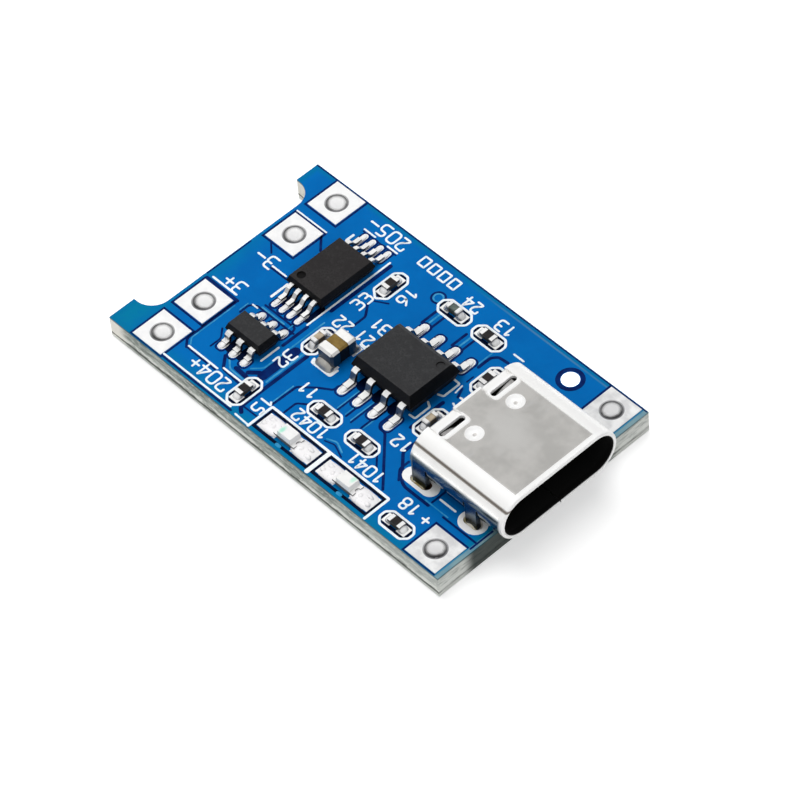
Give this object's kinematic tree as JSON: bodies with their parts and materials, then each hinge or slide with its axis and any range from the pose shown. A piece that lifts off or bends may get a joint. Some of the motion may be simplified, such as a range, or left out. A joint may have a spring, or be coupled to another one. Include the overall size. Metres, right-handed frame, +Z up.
{
  "type": "lithium battery charger module",
  "caption": "Small circuit board that charges and guards one lithium cell: USB-C socket, soldered chips, indicator lamps and plated wire terminals at both ends.",
  "frame": {"origin": "under the centre of the whole module's bounding box, on the board's underside", "axes": "+X out of the USB-C mouth, +Y across the board away from the lamps, +Z up from the parts side"},
  "size_m": [0.0286, 0.0164, 0.0048],
  "materials": {
    "solder_mask_board": "blue solder mask over glass-fibre board",
    "tinned_copper": "tinned copper, satin",
    "socket_steel": "nickel-plated stainless sheet, satin",
    "socket_moulding": "black liquid-crystal polymer",
    "contact_gold": "gold-flashed copper alloy",
    "chip_mould": "dark grey epoxy mould compound",
    "lead_tin": "matt tin plating",
    "solder": "bright solder",
    "capacitor_ceramic": "brown fired ceramic",
    "resistor_ceramic": "alumina bar with a black glass overcoat",
    "lamp_base": "white laminate",
    "lamp_lens": "clear epoxy with a faint green tint",
    "lamp_die": "semiconductor die"
  },
  "bodies": {
    "root": {"board": "solder_mask_board", "bulk_capacitor_body": "capacitor_ceramic", "bulk_capacitor_caps": "lead_tin", "capacitor_1_body": "capacitor_ceramic", "capacitor_1_caps": "lead_tin", "capacitor_2_body": "capacitor_ceramic", "capacitor_2_caps": "lead_tin", "capacitor_3_body": "capacitor_ceramic", "capacitor_3_caps": "lead_tin", "charger_chip_body": "chip_mould", "charger_chip_leads": "lead_tin", "chip_lands": "tinned_copper", "chip_solder": "solder", "guard_chip_body": "chip_mould", "guard_chip_leads": "lead_tin", "lamp_1_base": "lamp_base", "lamp_1_contacts": "lead_tin", "lamp_1_die": "lamp_die", "lamp_1_lens": "lamp_lens", "lamp_2_base": "lamp_base", "lamp_2_contacts": "lead_tin", "lamp_2_die": "lamp_die", "lamp_2_lens": "lamp_lens", "part_lands": "tinned_copper", "part_solder": "solder", "resistor_1_body": "resistor_ceramic", "resistor_1_caps": "lead_tin", "resistor_2_body": "resistor_ceramic", "resistor_2_caps": "lead_tin", "resistor_3_body": "resistor_ceramic", "resistor_3_caps": "lead_tin", "resistor_4_body": "resistor_ceramic", "resistor_4_caps": "lead_tin", "resistor_5_body": "resistor_ceramic", "resistor_5_caps": "lead_tin", "resistor_6_body": "resistor_ceramic", "resistor_6_caps": "lead_tin", "resistor_7_body": "resistor_ceramic", "resistor_7_caps": "lead_tin", "slot_lining": "tinned_copper", "slot_solder": "solder", "switch_chip_body": "chip_mould", "switch_chip_leads": "lead_tin", "terminal_battery_minus": "tinned_copper", "terminal_battery_plus": "tinned_copper", "terminal_input_minus": "tinned_copper", "terminal_input_plus": "tinned_copper", "terminal_output_minus": "tinned_copper", "terminal_output_plus": "tinned_copper", "usb_lands": "tinned_copper", "usb_lower_contacts": "contact_gold", "usb_mid_plate": "socket_steel", "usb_moulding": "socket_moulding", "usb_shell": "socket_steel", "usb_upper_contacts": "contact_gold"}
  },
  "joints": []
}
